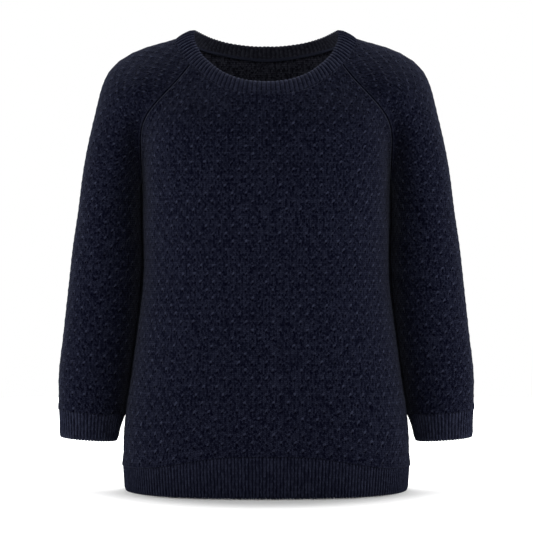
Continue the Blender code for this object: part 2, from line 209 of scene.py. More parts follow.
def torso_section(row, from_degrees, to_degrees, blousing=True):
    z, half_width, front, back = row
    angles = np.linspace(from_degrees, to_degrees, CURVE_SAMPLES)
    depths = (SIDE_SEAM_Y - front, back - SIDE_SEAM_Y)
    points = oval((0.0, SIDE_SEAM_Y), half_width, *depths, TORSO_POWER, angles)
    points[:, 2] = z
    if blousing:
        low = smooth_step(z, DROP_STARTS_AT, TORSO[-1][0])
        sideways = np.abs(np.sin(np.radians(angles)))
        points[:, 2] -= SIDE_DROP * low * smooth_step(sideways, *DROP_SPREAD)
    return points


def sleeve_section(row, from_degrees=-90, to_degrees=270):
    z, x, y, half_width, half_depth, rise = row
    angles = np.linspace(from_degrees, to_degrees, 2 * CURVE_SAMPLES)
    points = oval((x, y), half_width, half_depth, half_depth, SLEEVE_POWER, angles)
    points[:, 2] = z + rise * (points[:, 0] - x)
    return points


def neck_runs(cells):
    """The neck seam from centre front to centre back, a run of points between two guide lines."""
    rows = np.array(NECK)
    mirrored = np.array([-1, 1, 1, 1, 1])
    around = np.vstack([rows[1] * mirrored, rows, rows[-2] * mirrored])
    last = len(around) - 1
    places = np.linspace(1, last - 1, NECK_SAMPLES * (len(rows) - 1) + 1) / last
    curve = smooth_rows(around, places)[:, :3]
    ends = [NECK_SAMPLES * corner for corner in NECK_CORNERS]
    return [even_points(curve[a : b + 1], count) for a, b, count in zip(ends, ends[1:], cells)]


def underarm_runs(corners, cells):
    """The ring at underarm height: half the front, the sleeve's front and back, half the back."""
    front = torso_section(TORSO[0], 0, FRONT_ENDS_AT)
    back = torso_section(TORSO[0], BACK_STARTS_AT, 180)
    sleeve_front = sleeve_section(SLEEVE[0], *SLEEVE_FRONT)
    sleeve_back = sleeve_section(SLEEVE[0], *SLEEVE_BACK)
    lines = [
        [*front, corners[1]],
        [corners[1], *sleeve_front, corners[2]],
        [corners[2], *sleeve_back, corners[3]],
        [corners[3], *back],
    ]
    return [even_points(np.array(line), count) for line, count in zip(lines, cells)]


def bulge(run):
    """How far each point of a run lies from the straight line between its ends."""
    straight = np.linspace(0, 1, len(run))[:, None]
    return run - (run[0] + (run[-1] - run[0]) * straight)


def yoke_rings():
    """Rings from neck seam to underarm, each from centre front over the sleeve to centre back.

    A ring takes its corners from the guide lines. Between them it bulges as the neck seam
    and the underarm ring do, more like the nearer of the two.
    """
    tables = (CENTRE_FRONT, FRONT_RAGLAN, OVERARM, BACK_RAGLAN, CENTRE_BACK)
    tops = [NECK[corner][:3] for corner in NECK_CORNERS]
    guides = [guide_points([top, *table], YOKE_RINGS) for top, table in zip(tops, tables)]
    cells = (FRONT_CELLS, SLEEVE_CELLS, SLEEVE_CELLS, BACK_CELLS)
    upper = neck_runs(cells)
    lower = underarm_runs([line[-1] for line in guides], cells)
    rings = []
    for k in range(YOKE_RINGS + 1):
        down = k / YOKE_RINGS
        ring = []
        for part, count in enumerate(cells):
            start, end = guides[part][k], guides[part + 1][k]
            straight = start + (end - start) * np.linspace(0, 1, count + 1)[:, None]
            bent = straight + bulge(upper[part]) * (1 - down) + bulge(lower[part]) * down
            ring.extend(bent[:-1])
        ring.append(guides[4][k])
        rings.append(ring)
    return rings


class Skin:
    """The points and four-sided cells of the garment's outer side.

    Each cell has its panel, and its place there: how many cells across from the panel's
    middle line, and how many rings down from the neck.
    """

    def __init__(self):
        self.points = []
        self.cells = []
        self.panels = []
        self.places = []

    def row(self, points):
        first = len(self.points)
        self.points.extend(np.asarray(point, float) for point in points)
        return list(range(first, len(self.points)))

    def strip(self, panel, ring, middle, upper, lower):
        for k in range(len(upper) - 1):
            self.cells.append((upper[k], lower[k], lower[k + 1], upper[k + 1]))
            self.panels.append(panel)
            self.places.append((k - middle, ring))


PANELS = ("front", "back", "sleeve_left", "sleeve_right")


def left_half():
    """The skin of the half with +X."""
    skin = Skin()
    rings = [skin.row(ring) for ring in yoke_rings()]
    raglan_front = FRONT_CELLS
    raglan_back = FRONT_CELLS + 2 * SLEEVE_CELLS
    across_front = slice(0, raglan_front + 1)
    across_sleeve = slice(raglan_front, raglan_back + 1)
    across_back = slice(raglan_back, None)
    for ring, (upper, lower) in enumerate(zip(rings, rings[1:])):
        skin.strip("front", ring, 0, upper[across_front], lower[across_front])
        skin.strip("sleeve_left", ring, SLEEVE_CELLS, upper[across_sleeve], lower[across_sleeve])
        skin.strip("back", ring, BACK_CELLS, upper[across_back], lower[across_back])

    underarm = skin.row([UNDERARM])
    front_row = rings[-1][across_front] + underarm
    back_row = underarm + rings[-1][across_back]
    for ring, row in enumerate(rows_at_even_heights(TORSO, TORSO_RINGS)[1:], YOKE_RINGS):
        front = skin.row(even_points(torso_section(row, 0, 90), FRONT_CELLS + 1))
        back = front[-1:] + skin.row(even_points(torso_section(row, 90, 180), BACK_CELLS + 1)[1:])
        skin.strip("front", ring, 0, front_row, front)
        skin.strip("back", ring, BACK_CELLS + 1, back_row, back)
        front_row, back_row = front, back

    sleeve_row = underarm + rings[-1][across_sleeve] + underarm
    for ring, row in enumerate(rows_at_even_heights(SLEEVE, SLEEVE_RINGS)[1:], YOKE_RINGS):
        loop = skin.row(even_points(sleeve_section(row), 2 * SLEEVE_CELLS + 2)[:-1])
        loop.append(loop[0])
        skin.strip("sleeve_left", ring, SLEEVE_CELLS + 1, sleeve_row, loop)
        sleeve_row = loop
    return skin


def whole_skin():
    """The skin of both halves. Its points on the centre lines are shared, the others are twins."""
    skin = left_half()
    twin = {}
    for number in range(len(skin.points)):
        point = skin.points[number]
        on_centre = abs(point[0]) < 1e-9
        twin[number] = number if on_centre else skin.row([point * (-1, 1, 1)])[0]
    for cell, panel, (across, ring) in list(zip(skin.cells, skin.panels, skin.places)):
        skin.cells.append(tuple(twin[number] for number in reversed(cell)))
        skin.panels.append("sleeve_right" if panel == "sleeve_left" else panel)
        skin.places.append((-across - 1, ring))
    return skin


def subdivided(points, skin, levels):
    """The smooth surface: its points with their normals, and each face corner's point, place and panel."""
    mesh = bpy.data.meshes.new("skin")
    mesh.from_pydata([tuple(point) for point in points], [], skin.cells)
    mesh.polygons.foreach_set("material_index", [PANELS.index(name) for name in skin.panels])
    corners = [(a + i, r + j) for a, r in skin.places for i, j in ((0, 0), (0, 1), (1, 1), (1, 0))]
    mesh.uv_layers.new(name="places").data.foreach_set("uv", np.ravel(corners))
    thing = bpy.data.objects.new("skin", mesh)
    bpy.context.scene.collection.objects.link(thing)
    smoother = thing.modifiers.new("smooth surface", "SUBSURF")
    smoother.levels = levels
    smoother.render_levels = levels
    smoother.uv_smooth = "NONE"
    smooth = thing.evaluated_get(bpy.context.evaluated_depsgraph_get()).to_mesh()
    surface = {
        "points": np.array([(*vertex.co, *vertex.normal) for vertex in smooth.vertices]),
        "numbers": np.array([corner.vertex_index for corner in smooth.loops]),
        "places": np.array([corner.uv[:] for corner in smooth.uv_layers[0].data]),
        "panels": np.repeat([face.material_index for face in smooth.polygons], 4),
    }
    bpy.data.objects.remove(thing)
    bpy.data.meshes.remove(mesh)
    return surface


def fitted_surface(skin):
    """The smooth surface that passes through the skin's own points."""
    targets = np.array(skin.points)
    points = targets.copy()
    for _ in range(FITTING_ROUNDS):
        reached = subdivided(points, skin, FITTING_LEVELS)["points"][: len(targets), :3]
        points = points + targets - reached
    return subdivided(points, skin, SKIN_LEVELS)


garment = fitted_surface(whole_skin())


# The tuck-stitch cloth
# A honeycomb of tuck stitches in navy wool blend: a knot at the corners and the middle of each
# repeat, and a dark hole just below each knot. Beside its seams each panel is plain.

# The solids lie 0.3 mm apart. The cloth lies nearer, so that less light shows through a seam
SEAM_GAP = 0.0001

# The wall, how much of the knit's relief shows on its inner side, and the repeat and its relief
PANEL_WALL = 0.003
INNER_RELIEF = 0.4
REPEAT = (0.0171, 0.0200)
WALES_PER_REPEAT = 4
COURSES_PER_REPEAT = 8
KNOT_RISE = 0.0004
HOLE_DEPTH = 0.0006
HOLE_BELOW = 0.0029
HOLE_SPREAD = (0.55, 1.0)
SEAM_SINK = 0.0012
SEAM_SINK_WIDTH = 0.0016

# Where the pattern fades into plain stitches, from the raglan seams and from the side seams, and
# over which of the panel's rows below the underarm the one band turns into the other
RAGLAN_BAND = (0.0020, 0.0045)
SELVEDGE_BAND = (0.0050, 0.0085)
SELVEDGE_ROWS = (-8, 8)

# Below the underarm the courses turn from level to following the panel's rows over this height
LEVEL_FADE = 0.120


def panel_grid(name):
    """Rows of a panel's points and normals from the neck down, empty where the panel isn't."""
    own = garment["panels"] == PANELS.index(name)
    steps = np.rint(garment["places"][own] * SKIN_STEPS).astype(int)
    steps -= steps.min(axis=0)
    columns, rows = steps.max(axis=0) + 1
    grid = np.full((rows, columns, 6), np.nan)
    grid[steps[:, 1], steps[:, 0]] = garment["points"][garment["numbers"][own]]
    return grid


def resampled(grid, rows, columns):
    """The grid at other rows and columns, in steps of its own, on smooth curves through it."""
    height, width, values = grid.shape
    down = smooth_rows(grid.reshape(height, -1), rows / (height - 1))
    turned = down.reshape(len(rows), width, values).swapaxes(0, 1)
    across = smooth_rows(turned.reshape(width, -1), columns / (width - 1))
    return across.reshape(len(columns), len(rows), values).swapaxes(0, 1)


def fine_places(cells, per_cell, edges):
    """Even places over the cells, in steps of the skin, with a half place beside each edge."""
    last = cells * SKIN_STEPS
    even = np.linspace(0, last, cells * per_cell + 1)
    half = SKIN_STEPS / per_cell / 2
    beside = np.ravel([(edge - half, edge + half) for edge in edges])
    inside = beside[(beside > 0) & (beside < last)]
    return np.sort(np.concatenate([even, inside]))


def unit(vectors):
    return vectors / np.linalg.norm(vectors, axis=-1, keepdims=True)


def fine_grid(name, per_cell, yoke_rows, lower_rows):
    """The panel's grid with this many columns per cell and rows per ring."""
    grid = panel_grid(name)
    underarm = YOKE_RINGS * SKIN_STEPS
    first, last = np.flatnonzero(~np.isnan(grid[0, :, 0]))[[0, -1]]
    cells = (grid.shape[1] - 1) // SKIN_STEPS
    lower_rings = (grid.shape[0] - 1) // SKIN_STEPS - YOKE_RINGS
    columns = fine_places(cells, per_cell, (0, first, last, cells * SKIN_STEPS))
    above = fine_places(YOKE_RINGS, yoke_rows, (0,))
    below = fine_places(lower_rings, lower_rows, (lower_rings * SKIN_STEPS,))
    main = (columns >= first) & (columns <= last)
    fine = np.full((len(above) + len(below) - 1, len(columns), 6), np.nan)
    upper = resampled(grid[: underarm + 1, first : last + 1], above, columns[main] - first)
    fine[: len(above), main] = upper
    fine[len(above) - 1 :] = resampled(grid[underarm:], below, columns)
    return fine[..., :3], unit(fine[..., 3:]), len(above) - 1


def across_cloth(points, level):
    """How far each point lies from the panel's middle column, along its row or on the level."""
    steps = np.diff(points, axis=1)
    lengths = np.linalg.norm(steps[..., :2] if level else steps, axis=2)
    middle = points.shape[1] // 2
    right = np.cumsum(lengths[:, middle:], axis=1)
    left = -np.cumsum(lengths[:, middle - 1 :: -1], axis=1)[:, ::-1]
    return np.hstack([left, np.zeros((len(points), 1)), right])


def down_cloth(points, underarm_row, level):
    """How far each point lies below the top of the middle column, along it.

    On a sleeve the courses follow the rows. On the front and back they lie level in the
    yoke, and follow the rows from a little below the underarm.
    """
    column = points[:, points.shape[1] // 2]
    along = distances(column)
    by_row = np.repeat(along[:, None], points.shape[1], axis=1)
    if not level:
        return by_row
    height = points[..., 2]
    by_height = np.interp(-height, -column[:, 2], along)
    by_height -= np.maximum(height - column[0, 2], 0)
    fade = smooth_step(along, along[underarm_row], along[underarm_row] + LEVEL_FADE)[:, None]
    return by_height * (1 - fade) + by_row * fade


def knot_relief(across, down):
    """How far the honeycomb stands proud: knots, the hollows between them, and the holes."""
    x = 2 * np.pi * across / REPEAT[0]
    y = 2 * np.pi * down / REPEAT[1]
    knots = np.cos(x) * np.cos(y)
    holes = np.cos(x) * np.cos(y - 2 * np.pi * HOLE_BELOW / REPEAT[1])
    return KNOT_RISE * knots - HOLE_DEPTH * smooth_step(holes, *HOLE_SPREAD)


def all_four(flags):
    """Which cells of a grid of flags have all four corners set."""
    return flags[:-1, :-1] & flags[1:, :-1] & flags[1:, 1:] & flags[:-1, 1:]


def borders(present):
    """Which points are on the panel's border, and which of those on its top and foot."""
    border = present & ~all_four(np.pad(all_four(present), 1))
    top, foot = np.zeros_like(border), np.zeros_like(border)
    top[0], foot[-1] = present[0], present[-1]
    return border, top, foot


def distance_to(points, line):
    """How far each point is from the nearest point of a line. Empty points stay empty."""
    tree = KDTree(len(line))
    for number, point in enumerate(line):
        tree.insert(point, number)
    tree.balance()
    result = np.full(points.shape[:2], np.nan)
    for place in np.argwhere(~np.isnan(points[..., 0])):
        result[tuple(place)] = tree.find(points[tuple(place)])[2]
    return result


def thin_wall(name, outer, inner, knit, marks, material, closed=False):
    """A thin closed shell between an outer and an inner grid of points, empty where both are.

    knit is the place of each point in the pattern, for the UV map of that name. marks are
    numbers for each point that the finish reads, and so is the mark "inside" that it adds.
    """
    present = ~np.isnan(outer[..., 0])
    number = (np.cumsum(present) - 1).reshape(present.shape)
    if closed:
        present = np.hstack([present, present[:, :1]])
        number = np.hstack([number, number[:, :1]])
    cells = all_four(present)

    def corners(grid):
        return np.stack([grid[:-1, :-1], grid[1:, :-1], grid[1:, 1:], grid[:-1, 1:]], axis=2)[cells]

    solid = ~np.isnan(outer[..., 0])
    outside, inside = outer[solid], inner[solid]
    faces, places = corners(number), corners(knit)
    a, b, c, d = (outside[faces[:, k]] for k in range(4))
    facing = np.sum(np.cross(c - a, d - b) * (outside - inside)[faces[:, 0]])
    if facing < 0:
        faces, places = faces[:, ::-1], places[:, ::-1]
    count = len(outside)
    starts, ends = faces.ravel(), np.roll(faces, -1, axis=1).ravel()
    edge_places = np.stack([places, np.roll(places, -1, axis=1)], axis=2).reshape(-1, 2, 2)
    open_edges = ~np.isin(starts * count + ends, ends * count + starts)
    start, end = starts[open_edges], ends[open_edges]
    rim = np.column_stack([end, start, start + count, end + count])
    rim_places = edge_places[open_edges][:, [1, 0, 0, 1]]
    all_faces = np.concatenate([faces, faces[:, ::-1] + count, rim])
    all_places = np.concatenate([places, places[:, ::-1], rim_places])

    mesh = bpy.data.meshes.new(name)
    mesh.from_pydata(np.concatenate([outside, inside]), [], all_faces)
    mesh.uv_layers.new(name="knit").data.foreach_set("uv", all_places.astype(np.float32).ravel())
    values = {mark: np.tile(grid[solid], 2) for mark, grid in marks.items()}
    values["inside"] = np.repeat([0, 1], count)
    for mark, numbers in values.items():
        mesh.attributes.new(mark, "FLOAT", "POINT").data.foreach_set("value", numbers.astype(np.float32))
    mesh.materials.append(material)
    mesh.shade_smooth()
    piece = bpy.data.objects.new(name, mesh)
    bpy.context.scene.collection.objects.link(piece)
    return piece


class Wire:
    """A number in a finish. An expression of wires and numbers adds the nodes that work it out."""

    def __init__(self, finish, socket):
        self.finish = finish
        self.socket = socket

    def __add__(self, other):
        return self.finish.maths("ADD", self, other)

    def __sub__(self, other):
        return self.finish.maths("SUBTRACT", self, other)

    def __mul__(self, other):
        return self.finish.maths("MULTIPLY", self, other)

    def __rsub__(self, other):
        return self.finish.maths("SUBTRACT", other, self)

    __radd__ = __add__
    __rmul__ = __mul__


# Wool has no mirror light of its own, and its nap gives back a little light at the edges
GLOSS = 0.0
ROUGHNESS = 0.9
NAP = 0.05
NAP_ROUGHNESS = 0.4
NAP_TINT = (0.70, 0.76, 1.0)
STITCH_SLANT = 0.55


class Finish:
    """A material whose nodes are added one by one."""

    def __init__(self, name):
        self.material = bpy.data.materials.new(name)
        self.material.use_nodes = True
        self.tree = self.material.node_tree
        self.shader = self.tree.nodes["Principled BSDF"]
        self.shader.inputs["Roughness"].default_value = ROUGHNESS
        self.shader.inputs["Specular IOR Level"].default_value = GLOSS
        self.shader.inputs["Sheen Weight"].default_value = NAP
        self.shader.inputs["Sheen Roughness"].default_value = NAP_ROUGHNESS
        self.shader.inputs["Sheen Tint"].default_value = (*NAP_TINT, 1)

    def put(self, socket, value):
        if isinstance(value, Wire):
            self.tree.links.new(value.socket, socket)
        else:
            socket.default_value = value

    def node(self, kind, output, settings, sockets):
        """A new node's output. Its settings are set before its sockets get their values."""
        made = self.tree.nodes.new(kind)
        for name, value in settings.items():
            setattr(made, name, value)
        for name, value in sockets.items():
            self.put(made.inputs[name], value)
        return Wire(self, made.outputs[output])

    def maths(self, operation, *values):
        return self.node("ShaderNodeMath", 0, {"operation": operation}, dict(enumerate(values)))

    def cosine(self, turns):
        return self.maths("COSINE", turns * (2 * np.pi))

    def sine(self, turns):
        return self.maths("SINE", turns * (2 * np.pi))

    def ramp(self, value, start, end):
        """0 below start, 1 above end, and smooth between them."""
        sockets = {"Value": value, "From Min": start, "From Max": end}
        return self.node("ShaderNodeMapRange", 0, {"interpolation_type": "SMOOTHSTEP"}, sockets)

    def noise(self, scale, detail):
        place = self.node("ShaderNodeTexCoord", "Object", {}, {})
        sockets = {"Vector": place, "Scale": scale, "Detail": detail}
        return self.node("ShaderNodeTexNoise", 0, {}, sockets)

    def mark(self, name):
        return self.node("ShaderNodeAttribute", "Fac", {"attribute_name": name}, {})

    def knit_place(self):
        place = self.node("ShaderNodeUVMap", 0, {"uv_map": "knit"}, {})
        return [self.node("ShaderNodeSeparateXYZ", axis, {}, {0: place}) for axis in (0, 1)]

    def chance(self, across, up):
        """A number from 0 to 1 for each whole number nearest to across and up."""
        place = {0: self.maths("FLOOR", across + 0.5), 1: self.maths("FLOOR", up + 0.5)}
        sockets = {"Vector": self.node("ShaderNodeCombineXYZ", 0, {}, place)}
        return self.node("ShaderNodeTexWhiteNoise", "Value", {"noise_dimensions": "2D"}, sockets)

    def stitches(self, wales, courses):
        """The yarn of V-shaped stitches: how proud it stands, and a chance number for each leg."""
        from_middle = self.maths("ABSOLUTE", self.maths("FRACT", wales) - 0.5) * 2
        climb = courses - from_middle * STITCH_SLANT
        bow = self.maths("SINE", (from_middle * 0.72 + 0.2) * np.pi)
        proud = (self.cosine(climb) * 0.3 + 0.7) * bow
        return proud, self.chance(wales * 2 - 0.5, climb)

    def mixed(self, first, second, share):
        """A colour between two others. A plain colour is given as three numbers."""
        given = [value if isinstance(value, Wire) else (*value, 1) for value in (first, second)]
        sockets = {0: share, 6: given[0], 7: given[1]}
        return self.node("ShaderNodeMix", 2, {"data_type": "RGBA"}, sockets)

    def colour(self, outer_share, inner_share):
        """Sets the colour from how light the yarn is on the outer side and on the inside, with the painted
        light and shade that these shares carry.
        """
        outer = self.mixed(DEEP_NAVY, LIT_NAVY, self.maths("MAXIMUM", outer_share, 0.0))
        inner = self.mixed(DEEP_INSIDE, LIT_INSIDE, self.maths("MAXIMUM", inner_share, 0.0))
        self.put(self.shader.inputs["Base Color"], self.mixed(outer, inner, self.mark("inside")))

    def bump(self, height):
        sockets = {"Strength": 1.0, "Distance": 1.0, "Height": height}
        self.put(self.shader.inputs["Normal"], self.node("ShaderNodeBump", 0, {}, sockets))


FUZZ_SCALE = 950
MOTTLE_SCALE = 22
WANDER_SCALE = 70
WANDER = 0.14
KNOT_SLANT = 0.45
DEEP_NAVY = (0.0003, 0.0003, 0.0026)
LIT_NAVY = (0.0213, 0.0241, 0.0418)
# The inside's yarn is set much lighter and less blue than the outer side's: painted light that lifts the
# shaded interior
DEEP_INSIDE = (0.0050, 0.0052, 0.0090)
LIT_INSIDE = (0.0880, 0.0910, 0.1220)

# How light the fuzz is, how much painted highlight the knots get, and how much painted shade darkens a
# hole
FUZZ_LIGHT = 0.48
KNOT_HIGHLIGHT = 0.42
HOLE_PAINTED_SHADE = 0.9

# Heights in the bump
STITCH_BUMP = 0.0004
FUZZ_BUMP = 0.0002
KNOT_BUMP = 0.0006
HOLE_BUMP = 0.0010
LINE_BUMP = 0.0006
GROOVE_BUMP = 0.0008
CREST_BUMP = 0.0005

# The groove of a linked raglan seam, darkened with painted shade, and the thin line beside it, lightened
# with a painted highlight, from the panel's edge
SEAM_GROOVE = 0.0016
SEAM_LINE = (0.0018, 0.0034)
LINE_HIGHLIGHT = 0.14
GROOVE_PAINTED_SHADE = 0.85


def tuck_stitch_finish():
    finish = Finish("tuck_stitch_navy")
    across, up = finish.knit_place()
    across = across + WANDER * (finish.noise(WANDER_SCALE, 1) - 0.5)
    up = up + WANDER * (finish.noise(WANDER_SCALE * 1.3, 1) - 0.5)
    patterned = 1 - finish.mark("plain")
    slanted = finish.sine(across) * finish.sine(up) * KNOT_SLANT
    lattice = finish.cosine(across) * finish.cosine(up) + slanted
    hole_lattice = finish.cosine(across) * finish.cosine(up + HOLE_BELOW / REPEAT[1])
    knots = finish.ramp(lattice, 0.74, 0.98) * patterned
    holes = finish.ramp(hole_lattice, 0.80, 1.0) * patterned
    knot_chance = finish.chance(across * 2, up * 2)
    stitches, chance = finish.stitches(across * WALES_PER_REPEAT, up * COURSES_PER_REPEAT)
    fuzz = finish.noise(FUZZ_SCALE, 2)
    mottle = finish.noise(MOTTLE_SCALE, 3)
    # The yarn's lightness: its own random tone and fuzz, with painted light on the proud legs of the
    # stitches, painted highlights on the knots and painted shade in the holes
    light = (0.04 + 0.26 * stitches) * (0.2 + 1.6 * chance) + FUZZ_LIGHT * (fuzz - 0.5)
    light = light * (0.88 + 0.24 * mottle) + KNOT_HIGHLIGHT * knots * (0.4 + 1.0 * knot_chance)
    light = light * (1 - HOLE_PAINTED_SHADE * holes)

    # Painted shade in the seam's groove and a painted highlight on the line beside it
    from_seam = finish.mark("from_seam")
    groove = 1 - finish.ramp(from_seam, 0.0, SEAM_GROOVE)
    line = finish.ramp(from_seam, SEAM_GROOVE, SEAM_LINE[0]) * (1 - finish.ramp(from_seam, *SEAM_LINE))
    light = (light + LINE_HIGHLIGHT * line) * (1 - GROOVE_PAINTED_SHADE * groove)

    # On the inside the proud purl bumps get painted light
    purl = finish.cosine(up * COURSES_PER_REPEAT) * 0.4 + 0.6
    finish.colour(light, (0.05 + 0.25 * purl) * (0.1 + 1.8 * chance))
    height = STITCH_BUMP * stitches + KNOT_BUMP * knots + FUZZ_BUMP * fuzz - HOLE_BUMP * holes
    finish.bump(height + LINE_BUMP * line - GROOVE_BUMP * groove)
    return finish.material


tuck_stitch = tuck_stitch_finish()

# Soft troughs and ridges pressed into the cloth by the way it hangs, each a long oval.
# Columns: across and down from the top of the panel's middle, degrees from level, half length,
# half width, depth
CREASES = {
    "front": [
        (0.118, 0.145, 42, 0.060, 0.012, 0.0018),
        (-0.121, 0.150, -38, 0.066, 0.013, 0.0016),
        (0.060, 0.330, 12, 0.085, 0.020, 0.0012),
        (-0.085, 0.372, -9, 0.070, 0.018, 0.0014),
        (0.020, 0.212, -4, 0.100, 0.022, 0.0008),
    ],
    "back": [
        (0.112, 0.190, 47, 0.062, 0.013, 0.0020),
        (-0.108, 0.196, -44, 0.058, 0.012, 0.0018),
        (0.030, 0.300, 6, 0.100, 0.016, 0.0020),
        (-0.040, 0.345, -8, 0.080, 0.017, 0.0015),
        (0.075, 0.410, 14, 0.060, 0.016, 0.0012),
    ],
    "sleeve_left": [
        (-0.105, 0.330, 24, 0.045, 0.010, 0.0022),
        (-0.118, 0.372, 12, 0.040, 0.009, 0.0018),
        (0.110, 0.345, -20, 0.044, 0.010, 0.0020),
        (0.060, 0.440, -10, 0.036, 0.012, 0.0010),
    ],
    "sleeve_right": [
        (0.108, 0.335, -22, 0.046, 0.010, 0.0022),
        (0.116, 0.380, -14, 0.038, 0.009, 0.0018),
        (-0.112, 0.340, 18, 0.043, 0.011, 0.0018),
        (-0.055, 0.448, 9, 0.036, 0.012, 0.0010),
    ],
}

# How much the foot of a panel stands out over its rib, and how far up that reaches
FULLNESS = 0.0020
FULLNESS_REACH = 0.010


def creases(name, across, down):
    depth = np.zeros_like(across)
    for x, y, degrees, half_length, half_width, deep in CREASES[name]:
        turn = np.radians(degrees)
        along = (across - x) * np.cos(turn) + (down - y) * np.sin(turn)
        beside = (down - y) * np.cos(turn) - (across - x) * np.sin(turn)
        beside = (beside / half_width) ** 2
        trough = np.exp(-beside) - 0.5 * np.exp(-beside / 4)
        depth += 2 * deep * trough * np.exp(-((along / half_length) ** 2))
    return depth


def pulled_back(points, normals, present, border):
    """Shifts of the border points into the panel, half a seam gap, and none for the others."""
    filled = np.where(present[..., None], points, 0)
    total, count = np.zeros_like(points), np.zeros(present.shape)
    for rows, columns in ((0, 1), (0, -1), (1, 0), (-1, 0)):
        moved = np.roll(filled, (rows, columns), axis=(0, 1))
        known = np.roll(present & ~border, (rows, columns), axis=(0, 1))
        total += moved * known[..., None]
        count += known
    neighbours = total / np.maximum(count, 1)[..., None]
    middle = np.nanmean(points.reshape(-1, 3), axis=0)
    towards = np.where(count[..., None] > 0, neighbours, middle) - points
    towards -= normals * np.sum(towards * normals, axis=2, keepdims=True)
    shifts = np.zeros_like(points)
    shifts[border] = unit(towards[border]) * SEAM_GAP / 2
    return shifts


def panel(name, per_cell, yoke_rows, lower_rows, level):
    """A knitted panel in its place on the skin, as a thin wall."""
    points, normals, underarm_row = fine_grid(name, per_cell, yoke_rows, lower_rows)
    present = ~np.isnan(points[..., 0])
    across = across_cloth(points, level)
    down = down_cloth(points, underarm_row, level)
    row = np.arange(len(points))[:, None]
    if level:
        half = np.nanmax(across, axis=1)[:, None]
        across = across * np.where(row > underarm_row, half[underarm_row + 1] / half, 1)
    border, top, foot = borders(present)
    sides = border & ~top & ~foot
    from_side = distance_to(points, points[sides])
    from_raglan = distance_to(points, points[sides & (row <= underarm_row)])
    from_foot = distance_to(points, points[foot])
    from_top = distance_to(points, points[top])
    lower = smooth_step(row - underarm_row, *SELVEDGE_ROWS)
    band = np.array(RAGLAN_BAND) + (np.array(SELVEDGE_BAND) - RAGLAN_BAND) * lower[..., None]
    plain = 1 - smooth_step(from_side, band[..., 0], band[..., 1])

    sink = SEAM_SINK * np.exp(-((from_side / SEAM_SINK_WIDTH) ** 2))
    full = FULLNESS * np.exp(-((from_foot / FULLNESS_REACH) ** 2)) - sink - creases(name, across, down)
    full += FULLNESS / 2 * np.exp(-((from_top / FULLNESS_REACH) ** 2))
    relief = knot_relief(across, down) * (1 - plain)
    inwards = pulled_back(points, normals, present, border)
    outer = points + inwards + normals * (full + relief)[..., None]
    inner = points + inwards - normals * (PANEL_WALL - full + INNER_RELIEF * relief)[..., None]
    knit = np.stack([across / REPEAT[0], -down / REPEAT[1]], axis=2)
    piece = thin_wall(name, outer, inner, knit, {"plain": plain, "from_seam": from_raglan}, tuck_stitch)
    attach(piece, "root")
    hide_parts(name)
    return piece


# The front
# Knitted from the hem rib up to the two raglan seams and the neckline.

front = panel("front", 22, 13, 19, level=True)

# The back
# Like the front, higher at the neck.

back = panel("back", 22, 15, 19, level=True)

# The sleeves
# Each is one knitted panel, closed along the arm's inner side and linked to the raglan seams.

# Below the underarm the cloth hangs against the torso's sides. Just behind their widest line it
# comes this near to them, and towards the front and back of the sleeve it parts from them.
TOUCH_CLEARANCE = 0.0018
FOOT_CLEARANCE = 0.0040
TOUCH_Y = 0.033
TOUCH_REACH = 0.028
TOUCH_INSIDE = 0.020
TOUCH_STARTS = (0.182, 0.191)
FOOT_STARTS = (0.455, 0.480)


def lean_sleeves_on_torso():
    """Moves the inner sides of both sleeves, in the garment's surface, up to the torso."""
    of_sleeve = garment["panels"] >= PANELS.index("sleeve_left")
    numbers = np.unique(garment["numbers"][of_sleeve])
    x, y, z = garment["points"][numbers, :3].T
    side_seam = panel_grid("front")[:, -1]
    side_seam = side_seam[~np.isnan(side_seam[:, 0])]
    half_width = np.interp(-z, -side_seam[:, 2], side_seam[:, 0])
    sections = smooth_rows(TORSO, np.linspace(0, 1, CURVE_SAMPLES)).T
    front_y, back_y = (np.interp(-z, -sections[0], sections[k]) for k in (2, 3))
    depth = np.where(y > SIDE_SEAM_Y, back_y - SIDE_SEAM_Y, SIDE_SEAM_Y - front_y)
    share = np.clip(np.abs(y - SIDE_SEAM_Y) / depth, 0, 1)
    torso_x = half_width * (1 - share**TORSO_POWER) ** (1 / TORSO_POWER)
    heights, middles = np.array(SLEEVE).T[:2]
    inside = smooth_step(np.interp(-z, -heights, middles) - np.abs(x), 0, TOUCH_INSIDE)
    near = np.exp(-(((y - TOUCH_Y) / TOUCH_REACH) ** 2)) * inside * smooth_step(-z, *TOUCH_STARTS)
    clearance = TOUCH_CLEARANCE + (FOOT_CLEARANCE - TOUCH_CLEARANCE) * smooth_step(-z, *FOOT_STARTS)
    gap = np.maximum(np.abs(x) - torso_x - clearance, 0)
    garment["points"][numbers, 0] -= np.sign(x) * near * gap


lean_sleeves_on_torso()
sleeve_left = panel("sleeve_left", 20, 20, 20, level=False)
sleeve_right = panel("sleeve_right", 20, 20, 20, level=False)


# The rib bands
# 1x1 rib in the same yarn, knitted on to the foot of the panels and sleeves and linked to the
# neckline. Each rib is a wale of plain stitches, with a narrow valley between two of them that is darkened
# with painted shade.

# The wall and its ribs: how far they stand out, how round they are, the points across one, and
# the height of a stitch. Towards the free edge the wall thins, and each rib ends in a scallop.
RIB_WALL = 0.0022
RIB_RAISE = 0.0011
RIB_ROUNDNESS = 0.8
RIB_COLUMNS = 6
RIB_STITCH = 0.0027
INNER_RAISE = 0.0006
EDGE_THINNING = (0.75, 0.35)
SCALLOP = 0.0009
NECK_RIBS = 112
HEM_RIBS = 120
CUFF_RIBS = 62
NECKBAND_ROWS = 10
HEM_ROWS = 18
CUFF_ROWS = 14


